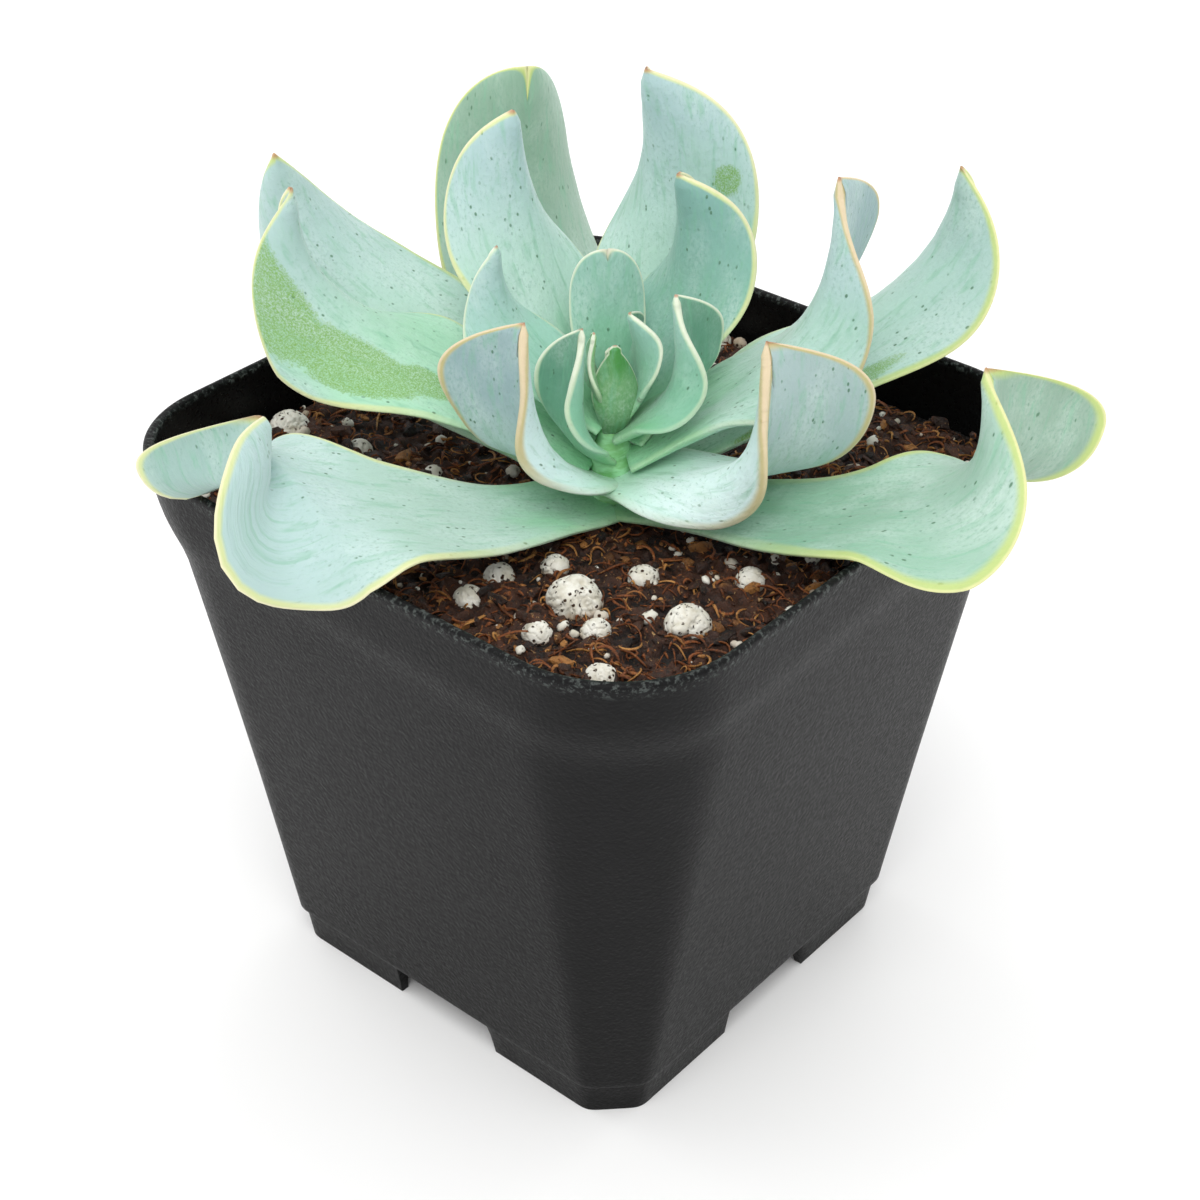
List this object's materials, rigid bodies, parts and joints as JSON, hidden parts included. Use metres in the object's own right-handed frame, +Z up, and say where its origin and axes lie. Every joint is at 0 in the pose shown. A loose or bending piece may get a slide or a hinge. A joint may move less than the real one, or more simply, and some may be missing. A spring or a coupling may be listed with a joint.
{
  "type": "potted succulent",
  "caption": "Rosette succulent with powdery, curled blue-green leaves growing in gritty soil in a square tapered nursery pot with cut corners and feet.",
  "frame": {"origin": "bottom middle of the box round the whole plant and pot, on the surface the pot stands on", "axes": "+Z up along the pot; X and Y along the pot's sides, with the pot's corner at +X -Y the one nearest the viewer in the reference view"},
  "size_m": [0.1208, 0.117, 0.1381],
  "materials": {
    "pot": "matte charcoal injection-moulded plastic with a fine pebbled grain",
    "soil": "moist dark red-brown coir and bark potting mix",
    "stem": "matte green living stem",
    "leaf": "fleshy blue-green leaf with a powdery bloom and pale margins",
    "perlite": "dull white expanded perlite",
    "bark": "dry bark"
  },
  "bodies": {
    "root": {"bark_chip": "bark", "leaf_back": "leaf", "leaf_back_left": "leaf", "leaf_bud_front": "leaf", "leaf_bud_left": "leaf", "leaf_bud_tip": "leaf", "leaf_front_left": "leaf", "leaf_front_right": "leaf", "leaf_heart_back": "leaf", "leaf_heart_left": "leaf", "leaf_heart_right": "leaf", "leaf_inner_back": "leaf", "leaf_inner_left": "leaf", "leaf_inner_right": "leaf", "leaf_left": "leaf", "leaf_outer_back_left": "leaf", "leaf_outer_back_right": "leaf", "leaf_outer_front_left": "leaf", "leaf_outer_left": "leaf", "leaf_outer_right": "leaf", "leaf_right": "leaf", "perlite_01": "perlite", "perlite_02": "perlite", "perlite_03": "perlite", "perlite_04": "perlite", "perlite_05": "perlite", "perlite_06": "perlite", "perlite_07": "perlite", "perlite_08": "perlite", "perlite_09": "perlite", "perlite_10": "perlite", "perlite_11": "perlite", "perlite_12": "perlite", "perlite_13": "perlite", "perlite_14": "perlite", "perlite_15": "perlite", "pot": "pot", "soil": "soil", "stem": "stem"}
  },
  "joints": []
}
